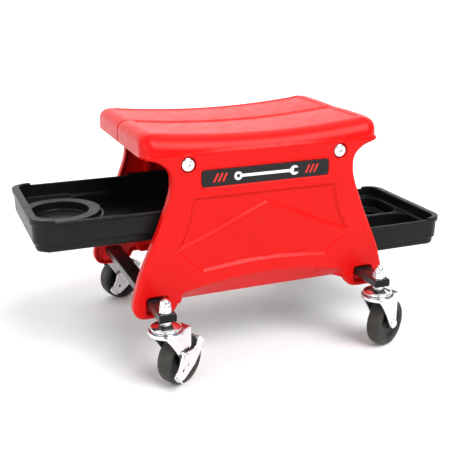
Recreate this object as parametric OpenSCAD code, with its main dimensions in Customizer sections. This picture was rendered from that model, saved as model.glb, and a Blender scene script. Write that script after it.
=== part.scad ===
// Rolling mechanic's seat: two moulded half shells bolted together around two steel
// cross bars, with two slide-out parts trays and four swivel casters.
// X runs along the seat, Y from front to back, Z up. The origin is on the floor,
// under the middle of the seat. All sizes are in millimetres.

/* [Seat] */
// Length of the seat
seat_len = 380; // [340:1:400]
// Depth of the seat over both shells
seat_depth = 266; // [262:1:280]
// Height of the saddle at its middle
seat_mid_z = 357; // [352:1:360]
// Rise of the saddle from its middle to its ends
saddle_rise = 11; // [4:1:12]
// Height of the lower edge of the seat's ends
seat_low_z = 332; // [330:1:335]
// Radius of the seat's long front and back edges
seat_edge_r = 28; // [20:1:30]
// Radius of the seat's two ends
seat_end_r = 17; // [12:1:18]

/* [Side shells] */
// Thickness of the moulded walls
wall = 3.5; // [3:0.5:4]
// Depth of the turned rim around each shell
rim_depth = 16; // [14:1:16]
// Height of the underside of the feet
foot_z = 92.5; // [92:0.5:95]
// Height of the lower edge between the feet
skirt_z = 110; // [108:1:114]
// Distance of the connector bolts from the middle
bolt_x = 122.4; // [118:0.1:124]
// Height of the connector bolts
bolt_z = 321.3; // [319:0.1:322]

/* [Cross bars] */
// Distance of each bar from the middle
bar_x = 175.7; // [175:0.1:176]
// Length of the bars
bar_len = 376; // [372:1:380]
// Width of the bar section
bar_w = 26; // [24:0.5:27]
// Height of the bar section
bar_h = 12; // [11:0.5:12]
// Wall of the bar section
bar_wall = 1.5; // [1.2:0.1:2]
// Height of the bar's underside
bar_z = 110.5; // [110:0.1:111]

/* [Trays] */
// Length of each tray
tray_len = 340; // [300:1:340]
// Half width over the tray's rim
tray_half = 109; // [105:0.5:109]
// Height of a tray
tray_h = 48; // [44:1:48]
// Height of the upper tray's underside
upper_z = 203; // [202:1:204]
// Height of the lower tray's underside
lower_z = 132; // [131:1:134]
// Distance of the pulled out end of each tray from the middle
tray_end_x = 343.5; // [330:0.5:350]
// Radius of the cup holder
cup_r = 44; // [38:0.5:45]

/* [Casters] */
// Diameter of the wheels
wheel_d = 76.2; // [70:0.1:78]
// Width of the tyre
tyre_w = 24; // [20:0.5:25]
// Distance from the stem to the axle
trail = 28; // [24:0.5:30]
// Distance of the stems from the middle, front and back
stem_y = 176.5; // [176:0.1:177]
// Radius of the threaded stems
stem_r = 5; // [4:0.1:5]
// Swivel angles of the casters: front left, front right, rear left, rear right
swivel = [30, 26.5, 16.5, 21];

/* [Hidden] */
$fn = 64;

half_len = seat_len / 2;
face_y = seat_depth / 2;
rim_y = face_y - rim_depth;
skirt_y = 109;
seam_gap = 0.3;
big = 400;
// Thickness of the panel's face, depth of the bolt counterbores, height of the name plates
panel_t = wall + 1;
bolt_depth = 6;
bolt_r = 4;
plate_z = 298.6;
// Half width and top of the skirt between the feet
skirt_x = 138;
skirt_top = 140;
// Height of the bar sockets' mouths, and how deep they are sunk
socket_z = 113.5;
socket_in = 7;
// Distance of the foot screws in from the face
foot_screw_in = 11.5;
// Outer face and thickness of the tray rails, the places of their screws, and the lengths
// of the upper and lower rails
rail_y = 112.2;
rail_t = 2;
rail_screw_x = 110;
rail_screw_h = 31;
upper_rail_len = 296;
lower_rail_len = 352;
// Height of the foot step of a tray's side, depth of its rim, and its raised end rim
step_h = 14;
rim_h = 6;
end_rise = 3.5;
end_rim = 32;
end_wall = 12;
// Half width between a tray's side ledges, and the heights of its floor and its ledges
ledge_y = 95;
floor_t = 3;
floor_h = 6;
ring_h = 33;
// Round cup holder near the tray's end: its place, its table's radius and its depth
cup_x = 58.5;
ring_r = 62;
cup_depth = 14;
// Where the two lengths of the upper tray meet
part_x = 122;
// Swivel bearing: height of its balls, their radius and the radius of their ring
ball_z = 97.4;
ball_r = 2.3;
ball_ring_r = 17;
// Fork: underside of its crown, half the gap between its legs, and its sheet
crown_z = 89.4;
leg_gap = tyre_w / 2 + 2.5;
leg_t = 2.5;
// Brake lever: its plane outside the leg, its thickness, and its pivot from the axle
lever_z = leg_gap + leg_t + 3.1;
lever_t = 1.8;
lever_pivot = [-8, 12];
pivot_r = 3;
// Radius of the axle bolts, of the bore in the hubs and of the tyres' inner face
axle_r = 4;
hub_bore_r = 6.05;
tyre_in_r = 29;

// Signs of each caster's place: front left, front right, rear left, rear right
CORNERS = [[-1, -1], [1, -1], [-1, 1], [1, 1]];
wheel_r = wheel_d / 2;

// Colours
red = [0.86, 0.07, 0.07];
black = [0.06, 0.06, 0.06];
dark = [0.16, 0.16, 0.17];
steel = [0.78, 0.79, 0.80];
rubber = [0.22, 0.22, 0.21];

// ---- Shared shapes ----

// Right half of the side panel's outline, as [x, z], from under the seat end down the
// waist and around the foot to the skirt.
panel_half = [
    [half_len - 2, 338], [half_len - 5, 333], [176, 330], [166, 326], [157, 320],
    [151, 313], [148, 304], [148, 290], [150.5, 278], [155, 264], [160, 250],
    [168, 229], [176, 211], [184, 193], [192, 175], [198.5, 159], [204, 141],
    [208, 126], [210, 115], [209, 105], [205, 98], [197, 93.5], [190, foot_z],
    [166, foot_z], [154, 95], [145, 102], [140, 111], [134, 119]
];

// A closed outline from its right half
function mirrored(half) = concat(
    half, [for (i = [len(half) - 1 : -1 : 0]) [-half[i].x, half[i].y]]
);

// Height of the saddle at x
function saddle(x) = seat_mid_z + saddle_rise * pow(x / (half_len - 10), 2);

// Lays a drawing of x and z upright, from y = from back to y = to
module upright(from, to) {
    translate([0, to, 0])
        rotate([90, 0, 0])
            linear_extrude(to - from) children();
}

// Rounded rectangle, len by wid, with corner radius r
module rounded(len, wid, r) {
    square([len - 2 * r, wid], center = true);
    square([len, wid - 2 * r], center = true);
    for (sx = [-1, 1], sy = [-1, 1])
        translate([sx * (len / 2 - r), sy * (wid / 2 - r)]) circle(r);
}

// Places children at each caster, at the stem's axis
module at_casters() {
    for (c = CORNERS)
        translate([c.x * bar_x, c.y * stem_y, 0]) children();
}

// Places children at one caster, turned so that x runs along the trail
module at_caster(i) {
    translate([CORNERS[i].x * bar_x, CORNERS[i].y * stem_y, 0])
        rotate(swivel[i]) children();
}

// Places children on the axle of one caster, with z along the axle
module at_axle(i) {
    at_caster(i)
        translate([trail, 0, wheel_r])
            rotate([90, 0, 0]) children();
}

// ---- Shells ----

// The seat's end view, in x and z, thinned by t on every side but the bottom
module seat_side(t) {
    r = seat_end_r;
    end_x = half_len - r;
    steps = 24;
    roll = [
        for (a = [0 : 10 : 80])
            [end_x + (r - t) * cos(a), saddle(end_x) - r + (r - t) * sin(a)]
    ];
    top = [
        for (i = [0 : steps])
            let (x = end_x - 2 * end_x * i / steps) [x, saddle(x) - t]
    ];
    left = [for (i = [len(roll) - 1 : -1 : 0]) [-roll[i].x, roll[i].y]];
    polygon(concat([[half_len - t, seat_low_z - t]], roll, top, left,
        [[t - half_len, seat_low_z - t]]));
}

// The seat's section, in y and z, for the front half
module seat_section(t) {
    r = seat_edge_r;
    top = seat_mid_z + saddle_rise + 5;
    translate([-face_y + t, seat_low_z - t])
        square([face_y - 2 * t - seam_gap / 2, seat_mid_z - r - seat_low_z + t + 4]);
    translate([-face_y + r, seat_mid_z - r + 2])
        circle(r - t);
    translate([-face_y + r, seat_low_z - t])
        square([face_y - r - t - seam_gap / 2, top - seat_low_z]);
}

// The seat half's whole block, thinned by t on every side but the bottom
module seat_block(t) {
    intersection() {
        upright(-face_y, 0) seat_side(t);
        rotate([90, 0, 90])
            translate([0, 0, -half_len])
                linear_extrude(seat_len) seat_section(t);
    }
}

// The skirt between the feet: it leans in from the front face to the lower edge
module skirt() {
    lean = [
        [-face_y, skirt_top], [-skirt_y - 3, skirt_z], [-skirt_y, skirt_z],
        [-skirt_y, skirt_z + 4], [-face_y + panel_t, skirt_top]
    ];
    rotate([90, 0, 90])
        translate([0, 0, -skirt_x])
            linear_extrude(2 * skirt_x) polygon(lean);
    // webs that close its two ends
    for (s = [-1, 1])
        translate([s * (skirt_x - 1.5) - wall / 2, 0, 0])
            rotate([90, 0, 90])
                linear_extrude(wall) polygon([
                    [-face_y, skirt_top], [-face_y, 116], [-skirt_y - 3, skirt_z],
                    [-skirt_y, skirt_z], [-skirt_y, 125], [-face_y + wall, skirt_top]
                ]);
}

// The trapezium recess on the front face
module recess() {
    polygon(mirrored([[116.5, 272], [119, 255], [127, 226], [138, 202], [146, 192],
        [131, 181], [115, 167], [103, 155], [55, 159], [0, 161]]));
}

// The raised crown inside the recess
module crown() {
    polygon(mirrored([[0, 250], [45, 234], [88, 213], [123, 198], [132, 194],
        [108, 172], [98, 162], [55, 166], [0, 168]]));
}

// Square boss that holds a cross bar in a foot
module bar_socket(s) {
    translate([s * bar_x - 19, -face_y + socket_in, 98])
        cube([38, rim_depth - socket_in, 32]);
}

// Holes and counterbores of the connector bolts
module bolt_holes() {
    for (s = [-1, 1])
        translate([s * bolt_x, 0, bolt_z]) rotate([90, 0, 0]) {
            cylinder(h = big, r = bolt_r + 0.3);
            translate([0, 0, face_y - bolt_depth]) cylinder(h = 20, r = 11.5);
        }
}

// Upright part of a shell, below the seat: panel, skirt and two feet
module shell() {
    difference() {
        union() {
            difference() {
                upright(-face_y, -rim_y) polygon(mirrored(panel_half));
                upright(-face_y + panel_t, -rim_y + 1)
                    offset(delta = -wall) polygon(mirrored(panel_half));
                // the skirt takes the place of the lower edge between the feet
                translate([2 - skirt_x, -face_y - 1, skirt_top - 50])
                    cube([2 * skirt_x - 4, rim_depth + 2, 50]);
            }
            skirt();
            // sleeves for the connector bolts
            for (s = [-1, 1])
                translate([s * bolt_x, -rim_y, bolt_z])
                    rotate([90, 0, 0]) cylinder(h = rim_depth - 1, r = 14.5);
            for (s = [-1, 1]) bar_socket(s);
        }
        // the seat half takes over at its lower edge
        translate([-big / 2, -big / 2, seat_low_z]) cube(big);
        // relief of the front face
        upright(-face_y - 1, -face_y + 1.5)
            difference() {
                recess();
                crown();
            }
        // seat for the name plate
        upright(-face_y - 1, -face_y + 1.2)
            translate([0, plate_z]) rounded(207, 26, 5.5);
        bolt_holes();
        for (s = [-1, 1]) {
            // mouth of the bar socket, and the socket itself
            upright(-face_y - 1, -face_y + socket_in)
                translate([s * (bar_x - 2), socket_z]) rounded(33, 26, 5);
            translate([s * bar_x - bar_w / 2 - 0.3, -face_y - 1, bar_z - 0.3])
                cube([bar_w + 0.6, rim_depth + 2, bar_h + 0.6]);
            // foot screw and the hole that reaches it
            translate([s * bar_x, -face_y + foot_screw_in, foot_z - 1]) {
                cylinder(h = 6.5, r = 5);
                cylinder(h = 30, r = 2.2);
            }
        }
    }
}

module front_shell() {
    color(red) shell();
}

module rear_shell() {
    color(red) rotate(180) shell();
}

// Seat half of a shell, open below
module seat_half() {
    difference() {
        seat_block(0);
        seat_block(wall);
        bolt_holes();
    }
}

module front_seat_half() {
    color(red) seat_half();
}

module rear_seat_half() {
    color(red) rotate(180) seat_half();
}

// Posts behind the panel that the tray rails are screwed to
module rail_posts() {
    inner_y = -face_y + panel_t;
    difference() {
        for (x = [-rail_screw_x, 0, rail_screw_x])
            translate([x - 4, inner_y, 141])
                cube([8, -rail_y - inner_y, 163]);
        for (s = [-1, 1], z = [upper_z, lower_z])
            translate([s * rail_screw_x, -108, z + rail_screw_h])
                rotate([90, 0, 0]) cylinder(h = 16, r = 1.95);
    }
}

module front_rail_posts() {
    color(red) rail_posts();
}

module rear_rail_posts() {
    color(red) rotate(180) rail_posts();
}

// ---- Frame ----

// Rectangular steel tube through the feet of both shells
module cross_bar(s) {
    color(dark) difference() {
        translate([s * bar_x - bar_w / 2, -bar_len / 2, bar_z])
            cube([bar_w, bar_len, bar_h]);
        translate([s * bar_x - bar_w / 2 + bar_wall, -bar_len / 2 - 1, bar_z + bar_wall])
            cube([bar_w - 2 * bar_wall, bar_len + 2, bar_h - 2 * bar_wall]);
        for (sy = [-1, 1]) {
            translate([s * bar_x, sy * stem_y, bar_z - 1])
                cylinder(h = bar_h + 2, r = stem_r + 0.2);
            translate([s * bar_x, sy * (face_y - foot_screw_in), bar_z - 1])
                cylinder(h = bar_wall + 2, r = 2.05);
        }
    }
}

module cross_bar_left() {
    cross_bar(-1);
}

module cross_bar_right() {
    cross_bar(1);
}

// Plastic plugs that close the bar ends
module bar_end_caps() {
    color(black)
        for (s = [-1, 1], sy = [-1, 1]) {
            translate([s * bar_x, sy * (bar_len / 2 + 0.75), bar_z + bar_h / 2])
                cube([bar_w, 1.5, bar_h], center = true);
            translate([s * bar_x, sy * (bar_len / 2 - 2.5), bar_z + bar_h / 2])
                cube([bar_w - 2 * bar_wall - 0.2, 5.2, bar_h - 2 * bar_wall - 0.2], center = true);
        }
}

// Screws up through the feet into the bars
module bar_screws() {
    color(steel)
        for (s = [-1, 1], sy = [-1, 1])
            translate([s * bar_x, sy * (face_y - foot_screw_in), 0]) {
                translate([0, 0, 95]) cylinder(h = 3, r = 4.2);
                translate([0, 0, 97]) cylinder(h = bar_z + bar_wall + 2 - 97, r = 2);
            }
}

// Spacer tubes across the top of the frame
module seat_tubes() {
    color(dark)
        for (s = [-1, 1])
            translate([s * bolt_x, 0, bolt_z]) rotate([90, 0, 0])
                difference() {
                    cylinder(h = 2 * rim_y, r = 8, center = true);
                    cylinder(h = 2 * rim_y + 2, r = bolt_r + 0.05, center = true);
                }
}

// Pan-head connector bolts with a socket drive
module seat_bolts() {
    color(steel)
        for (s = [-1, 1], sy = [0, 180])
            rotate(sy) translate([s * bolt_x, -face_y + bolt_depth, bolt_z]) rotate([90, 0, 0])
                difference() {
                    union() {
                        translate([0, 0, -32]) cylinder(h = 33, r = bolt_r);
                        cylinder(h = 3, r = 10);
                        translate([0, 0, 3]) cylinder(h = 2, r1 = 10, r2 = 7.5);
                    }
                    translate([0, 0, 2]) cylinder(h = 4, r = 3.4, $fn = 6);
                }
}

// Name plate, set into the panel
module plate() {
    color(black)
        upright(-face_y + 0.2, -face_y + 1.2)
            translate([0, plate_z]) rounded(206, 25.2, 5);
}

module front_plate() {
    plate();
}

module rear_plate() {
    rotate(180) plate();
}

// ---- Tray rails ----

// One channel that carries a tray's side, for a tray whose underside is at z
module rail(z, len) {
    difference() {
        translate([-len / 2, -rail_y, z + 11.6]) cube([len, 8.8, 39]);
        translate([-len / 2 - 1, rail_t - rail_y, z + 13.7]) cube([len + 2, 10, 34.8]);
        for (s = [-1, 1])
            translate([s * rail_screw_x, rail_t - rail_y, z + rail_screw_h]) rotate([90, 0, 0]) {
                cylinder(h = 4, r = 2);
                translate([0, 0, -1]) cylinder(h = 1, r = 4.1);
                cylinder(h = 1.9, r1 = 4.1, r2 = 2.1);
            }
    }
}

// The pair of channels of one tray
module rails(z, len) {
    color(black) {
        rail(z, len);
        rotate(180) rail(z, len);
    }
}

module upper_tray_rails() {
    rails(upper_z, upper_rail_len);
}

module lower_tray_rails() {
    rails(lower_z, lower_rail_len);
}

// Countersunk screws that hold the rails
module rail_screws() {
    color(steel)
        for (s = [-1, 1], turn = [0, 180], z = [upper_z, lower_z])
            rotate(turn) translate([s * rail_screw_x, rail_t - rail_y, z + rail_screw_h])
                rotate([90, 0, 0]) {
                    cylinder(h = 1.8, r1 = 3.8, r2 = 1.9);
                    cylinder(h = 13, r = 1.9);
                }
}

// ---- Trays ----

// A tray with its pulled out end at x = 0, reaching to x = tray_len, underside at z = 0
module tray_blank() {
    mid = tray_len / 2;
    wall_len = tray_len - 5;
    wall_w = 2 * tray_half - 5;
    difference() {
        union() {
            translate([mid, 0, 0]) linear_extrude(step_h + 1) rounded(wall_len - 7, wall_w - 7, 21);
            translate([mid, 0, step_h]) linear_extrude(tray_h - step_h) rounded(wall_len, wall_w, 24);
            translate([mid, 0, tray_h - rim_h]) linear_extrude(rim_h)
                rounded(tray_len, 2 * tray_half, 26);
            intersection() {
                translate([mid, 0, tray_h - 1]) linear_extrude(end_rise + 1)
                    rounded(tray_len, 2 * tray_half, 26);
                translate([0, -big / 2, 0]) cube([end_rim, big, big]);
            }
        }
        // upper part of the inside
        translate([(end_wall + tray_len - 6) / 2, 0, tray_h - 23])
            linear_extrude(big) rounded(tray_len - 6 - end_wall, wall_w - 7, 20);
        // raised underside, and the hollows beneath the side ledges
        translate([mid, 0, -1])
            linear_extrude(floor_h - floor_t + 1) rounded(wall_len - 14, wall_w - 14, 18);
        for (s = [-1, 1])
            translate([mid - 120, s * 97.5 - 1.8, -1]) cube([240, 3.6, 22]);
    }
}

// Tray with a long floor, and a cup holder sunk in a round table near its end
module cup_tray() {
    difference() {
        union() {
            difference() {
                tray_blank();
                // sunken floor between the side ledges
                translate([(end_wall + tray_len - 8) / 2, 0, floor_h])
                    linear_extrude(big) rounded(tray_len - 12 - end_wall, 2 * ledge_y, 18);
            }
            translate([cup_x, 0, floor_h - 1]) cylinder(h = ring_h - floor_h + 1, r = ring_r);
            // corners between the table and the end wall
            translate([5, -60, floor_h - 1]) cube([40, 120, ring_h - floor_h + 1]);
        }
        translate([cup_x, 0, ring_h - cup_depth]) cylinder(h = big, r = cup_r);
        // hollow beneath the table
        difference() {
            translate([cup_x, 0, -1]) cylinder(h = ring_h - floor_t + 1, r = ring_r - 8);
            translate([cup_x, 0, ring_h - cup_depth - floor_t])
                cylinder(h = big, r = cup_r + floor_t);
            translate([0, -ring_r, -1]) cube([end_wall + floor_t, 2 * ring_r, big]);
        }
    }
}

// Tray with two long pockets side by side, and a round pocket in the rear one
module pocket_tray() {
    difference() {
        tray_blank();
        // front and rear pockets, with a divider between them
        translate([(end_wall + tray_len) / 2 - 2, 54, floor_h])
            linear_extrude(big) rounded(tray_len - 16 - end_wall, 82, 28);
        translate([(end_wall + tray_len) / 2 - 2, -45, floor_h + 8])
            linear_extrude(big) rounded(tray_len - 16 - end_wall, 96, 28);
        translate([72, -46, floor_h]) cylinder(h = big, r = 42);
        translate([230, -45, floor_h]) linear_extrude(big) rounded(150, 84, 22);
        // hollow beneath the divider
        translate([60, 2.5, -1]) cube([220, 9, ring_h - 10]);
    }
}

// The upper tray in two lengths that meet beside the table: its long floor, and its end
module upper_tray() {
    color(black) translate([-tray_end_x, 0, upper_z]) difference() {
        cup_tray();
        translate([part_x - big, -big / 2, -1]) cube(big);
    }
}

module upper_tray_end() {
    color(black) translate([-tray_end_x, 0, upper_z]) difference() {
        cup_tray();
        translate([part_x, -big / 2, -1]) cube(big);
    }
}

module lower_tray() {
    color(black) translate([tray_end_x, 0, lower_z]) rotate(180) pocket_tray();
}

// ---- Casters ----

// Domed nuts: a washer flange, six flats and a round cap
module acorn_nuts() {
    cap_r = 7.9;
    color(steel)
        at_casters() translate([0, 0, bar_z + bar_h]) difference() {
            union() {
                cylinder(h = 1.5, r = 10);
                translate([0, 0, 1.5]) cylinder(h = 9, r = 9.9, $fn = 6);
                translate([0, 0, 10.5]) cylinder(h = 2.3, r = cap_r);
                translate([0, 0, 12.8]) sphere(cap_r);
            }
            translate([0, 0, -1]) cylinder(h = 15, r = stem_r + 0.05);
        }
}

// Flat nuts under the bars
module stem_nuts() {
    color(steel)
        at_casters() translate([0, 0, bar_z - 5]) difference() {
            cylinder(h = 5, r = 9.6, $fn = 6);
            translate([0, 0, -1]) cylinder(h = 8, r = stem_r + 0.05);
        }
}

// Stem with its dished upper bearing race and the rivet head that keeps the fork on
module stem(i) {
    color(steel) at_caster(i) {
        difference() {
            rotate_extrude() polygon([
                [0, 86.4], [9, 86.4], [9, 88.8], [stem_r, 88.8], [stem_r, 99.4], [15, 99.4],
                [20.5, 97.2], [22.5, 97.2], [22.5, 99], [19.5, 101.4], [12, 104.5],
                [stem_r, 105.4], [stem_r, 134], [0, 134]
            ]);
            translate([0, 0, ball_z]) rotate_extrude()
                translate([ball_ring_r, 0]) circle(ball_r + 0.3);
        }
    }
}

module stem_front_left() {
    stem(0);
}

module stem_front_right() {
    stem(1);
}

module stem_rear_left() {
    stem(2);
}

module stem_rear_right() {
    stem(3);
}

// Balls of the swivel bearings
module caster_balls() {
    color(steel)
        at_casters() translate([0, 0, ball_z])
            for (a = [0 : 30 : 330])
                rotate(a) translate([ball_ring_r, 0, 0]) sphere(ball_r, $fn = 24);
}

// Pressed steel fork: a round crown with two tapering legs. The leg on the brake's side
// has a second hole, for the lever's pivot.
module fork(i, braked) {
    leg_out = leg_gap + leg_t;
    color(steel) at_caster(i) difference() {
        union() {
            translate([0, 0, crown_z]) cylinder(h = 3, r = 25.5);
            translate([0, -leg_out, crown_z]) cube([trail + 8, 2 * leg_out, 3]);
            translate([0, 0, crown_z]) cylinder(h = 6.2, r = 21);
            difference() {
                translate([0, 0, crown_z]) cylinder(h = 5.6, r = 25.5);
                translate([0, 0, crown_z - 1]) cylinder(h = 8, r = 23.2);
            }
            for (y = [-leg_gap, leg_out])
                translate([0, y, 0]) rotate([90, 0, 0])
                    linear_extrude(leg_t) union() {
                        polygon([[-17, 91], [-14, 84], [-6, 75], [trail - 8, wheel_r - 3],
                            [trail + 8, wheel_r - 2], [trail + 8, 91]]);
                        translate([trail, wheel_r]) circle(8);
                    }
        }
        translate([0, 0, 80]) cylinder(h = 20, r = stem_r + 0.08);
        translate([0, 0, ball_z]) rotate_extrude()
            translate([ball_ring_r, 0]) circle(ball_r + 0.3);
        translate([trail, 60, wheel_r]) rotate([90, 0, 0]) cylinder(h = 120, r = axle_r + 0.05);
        if (braked)
            translate([trail + lever_pivot.x, 0, wheel_r + lever_pivot.y])
                rotate([90, 0, 0]) cylinder(h = 60, r = pivot_r + 0.05);
    }
}

module fork_front_left() {
    fork(0, true);
}

module fork_front_right() {
    fork(1, false);
}

module fork_rear_left() {
    fork(2, true);
}

module fork_rear_right() {
    fork(3, false);
}

// Axle bolt with a low round head and a hexagon nut
module axle(i) {
    leg_out = leg_gap + leg_t;
    color(steel) at_axle(i) {
        translate([0, 0, -leg_out - 1]) cylinder(h = 2 * leg_out + 2, r = axle_r);
        translate([0, 0, -leg_out - 4.4]) cylinder(h = 4.4, r = 6.6, $fn = 6);
        translate([0, 0, leg_out]) cylinder(h = 2.4, r1 = 6.5, r2 = 5);
    }
}

module axle_front_left() {
    axle(0);
}

module axle_front_right() {
    axle(1);
}

module axle_rear_left() {
    axle(2);
}

module axle_rear_right() {
    axle(3);
}

// Steel sleeve that the hub turns on, clamped between the legs
module sleeve(i) {
    color(steel) at_axle(i) difference() {
        cylinder(h = tyre_w + 5, r = hub_bore_r - 0.05, center = true);
        cylinder(h = tyre_w + 7, r = axle_r + 0.05, center = true);
    }
}

module sleeve_front_left() {
    sleeve(0);
}

module sleeve_front_right() {
    sleeve(1);
}

module sleeve_rear_left() {
    sleeve(2);
}

module sleeve_rear_right() {
    sleeve(3);
}

// Wheel centre: a dished web between the boss and the rim
module hub(i) {
    color(black) at_axle(i) rotate_extrude() polygon([
        [hub_bore_r, -13.8], [10, -13.8], [11, -7], [25, -7], [27, -11], [tyre_in_r, -11],
        [tyre_in_r, 11], [27, 11], [25, 7], [11, 7], [10, 13.8], [hub_bore_r, 13.8]
    ]);
}

module hub_front_left() {
    hub(0);
}

module hub_front_right() {
    hub(1);
}

module hub_rear_left() {
    hub(2);
}

module hub_rear_right() {
    hub(3);
}

// Tyre with rounded shoulders
module tyre(i) {
    w = tyre_w / 2;
    r = 4;
    color(rubber) at_axle(i) rotate_extrude() union() {
        translate([tyre_in_r, -w]) square([wheel_r - tyre_in_r - r, 2 * w]);
        translate([tyre_in_r, r - w]) square([wheel_r - tyre_in_r, 2 * w - 2 * r]);
        for (s = [-1, 1]) translate([wheel_r - r, s * (w - r)]) circle(r);
    }
}

module tyre_front_left() {
    tyre(0);
}

module tyre_front_right() {
    tyre(1);
}

module tyre_rear_left() {
    tyre(2);
}

module tyre_rear_right() {
    tyre(3);
}

// Brake lever: a pressed plate that turns on its pivot, with a pad over the tyre at its
// top end and a pedal at its lower end.
module brake(i) {
    color(steel) at_axle(i) difference() {
        union() {
            translate([0, 0, lever_z]) linear_extrude(lever_t) polygon([
                [22, 34], [31.5, 25.5], [22, 8], [13, -3], [2, -13], [-14, -23], [-28, -21],
                [-35, -12], [-26, -4], [-21, 10], [-16, 18], [-4, 20], [6, 21], [14, 23]
            ]);
            // pad, bent inwards above the tyre
            rotate(47) translate([wheel_r + 0.5, -6, -tyre_w / 2])
                cube([lever_t, 13, tyre_w / 2 + lever_z + lever_t]);
            // pedal, bent outwards
            translate([-31.5, -16.5, lever_z]) rotate(37)
                translate([-lever_t / 2, -5.7, 0]) cube([lever_t, 11.4, 10]);
        }
        translate([lever_pivot.x, lever_pivot.y, 0]) cylinder(h = 60, r = pivot_r + 0.05);
    }
}

module brake_front_left() {
    brake(0);
}

module brake_rear_left() {
    brake(2);
}

// Shouldered rivet that the lever turns on
module pivot(i) {
    color(steel) at_axle(i) translate([lever_pivot.x, lever_pivot.y, 0]) {
        translate([0, 0, leg_gap - 1.2]) cylinder(h = 1.2, r = 4);
        translate([0, 0, leg_gap - 0.5])
            cylinder(h = lever_z + lever_t + 1 - leg_gap, r = pivot_r);
        translate([0, 0, leg_gap + leg_t]) cylinder(h = 2.8, r = 5);
        translate([0, 0, lever_z + lever_t + 0.3]) cylinder(h = 1.2, r1 = 5, r2 = 4);
    }
}

module pivot_front_left() {
    pivot(0);
}

module pivot_rear_left() {
    pivot(2);
}

front_shell();
rear_shell();
front_seat_half();
rear_seat_half();
front_rail_posts();
rear_rail_posts();
cross_bar_left();
cross_bar_right();
bar_end_caps();
bar_screws();
seat_tubes();
seat_bolts();
front_plate();
rear_plate();
upper_tray_rails();
lower_tray_rails();
rail_screws();
acorn_nuts();
stem_nuts();
caster_balls();
stem_front_left();
stem_front_right();
stem_rear_left();
stem_rear_right();
upper_tray();
upper_tray_end();
lower_tray();
fork_front_left();
fork_front_right();
fork_rear_left();
fork_rear_right();
axle_front_left();
axle_front_right();
axle_rear_left();
axle_rear_right();
sleeve_front_left();
sleeve_front_right();
sleeve_rear_left();
sleeve_rear_right();
hub_front_left();
hub_front_right();
hub_rear_left();
hub_rear_right();
tyre_front_left();
tyre_front_right();
tyre_rear_left();
tyre_rear_right();
brake_front_left();
brake_rear_left();
pivot_front_left();
pivot_rear_left();
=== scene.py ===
"""Looks of the rolling mechanic's seat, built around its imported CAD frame.

The moulded and pressed pieces are rounded fields: functions of x, y and z in millimetres that
are negative inside the piece. surface() turns a field into a mesh, and lathe() turns a profile.
"""
import math

import bpy
import numpy as np
from mathutils import Matrix, Vector


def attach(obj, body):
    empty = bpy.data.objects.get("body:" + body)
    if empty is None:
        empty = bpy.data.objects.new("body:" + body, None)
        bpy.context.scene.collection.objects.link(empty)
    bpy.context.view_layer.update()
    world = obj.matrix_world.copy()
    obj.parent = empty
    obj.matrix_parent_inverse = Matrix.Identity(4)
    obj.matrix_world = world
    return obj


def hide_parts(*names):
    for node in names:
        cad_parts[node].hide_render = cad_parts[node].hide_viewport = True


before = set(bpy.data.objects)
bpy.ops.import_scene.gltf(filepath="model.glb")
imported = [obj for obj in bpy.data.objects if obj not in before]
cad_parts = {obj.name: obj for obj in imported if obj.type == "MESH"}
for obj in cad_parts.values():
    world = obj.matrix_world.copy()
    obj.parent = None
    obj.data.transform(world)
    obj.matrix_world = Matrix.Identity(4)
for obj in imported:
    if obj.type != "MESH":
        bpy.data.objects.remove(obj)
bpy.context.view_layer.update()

MM = 0.001
FULL_TURN = 2 * math.pi

# ---------------------------------------------------------------- rounded fields


def ramp(low, high, value):
    """0 below low, 1 above high, and smooth between."""
    t = np.clip((value - low) / (high - low), 0.0, 1.0)
    return t * t * (3.0 - 2.0 * t)


def soft_step(value, width, height):
    """0 at 0 and below, then an even slope up to height at width, with short bends."""
    t = np.clip(value / width, 0, 1)
    bend = 0.22
    rise = np.where(t < bend, t * t / (2 * bend), t - bend / 2)
    rise = np.where(t > 1 - bend, 1 - bend - (1 - t) ** 2 / (2 * bend), rise)
    return height * rise / (1 - bend)


def meet(a, b, r):
    """What lies in both fields, with an outer edge of radius r."""
    return np.minimum(-r, np.maximum(a, b)) + np.hypot(np.maximum(a + r, 0), np.maximum(b + r, 0))


def join(a, b, r):
    """What lies in either field, with an inner corner of radius r."""
    return -meet(-a, -b, r)


def cut(a, b, r):
    """a without b, with an edge of radius r."""
    return meet(a, -b, r)


def slab(value, low, high):
    """Distance outside the span from low to high."""
    return np.abs(value - (low + high) / 2) - (high - low) / 2


def rounded_box(x, y, half_x, half_y, r):
    """Rounded rectangle about the origin."""
    dx = np.abs(x) - half_x + r
    dy = np.abs(y) - half_y + r
    return np.hypot(np.maximum(dx, 0), np.maximum(dy, 0)) + np.minimum(np.maximum(dx, dy), 0) - r


def disc(x, y, r):
    return np.hypot(x, y) - r


def hexagon(x, y, r):
    """Hexagon with flats at distance r from the middle."""
    far = np.maximum(np.abs(x) * math.cos(math.pi / 6) + np.abs(y) / 2, np.abs(y))
    return far - r


def outline(x, y, points):
    """Distance from a closed outline, negative inside."""
    nearest = np.full(np.broadcast(x, y).shape, np.inf)
    inside = np.zeros(nearest.shape, bool)
    for (ax, ay), (bx, by) in zip(points, np.roll(points, -1, axis=0)):
        ex, ey = bx - ax, by - ay
        if ex == 0 and ey == 0:
            continue
        wx, wy = x - ax, y - ay
        t = np.clip((wx * ex + wy * ey) / (ex * ex + ey * ey), 0, 1)
        nearest = np.minimum(nearest, (wx - ex * t) ** 2 + (wy - ey * t) ** 2)
        if by != ay:
            inside ^= ((ay > y) != (by > y)) & (wx < ex * wy / ey)
    return np.where(inside, -np.sqrt(nearest), np.sqrt(nearest))


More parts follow.
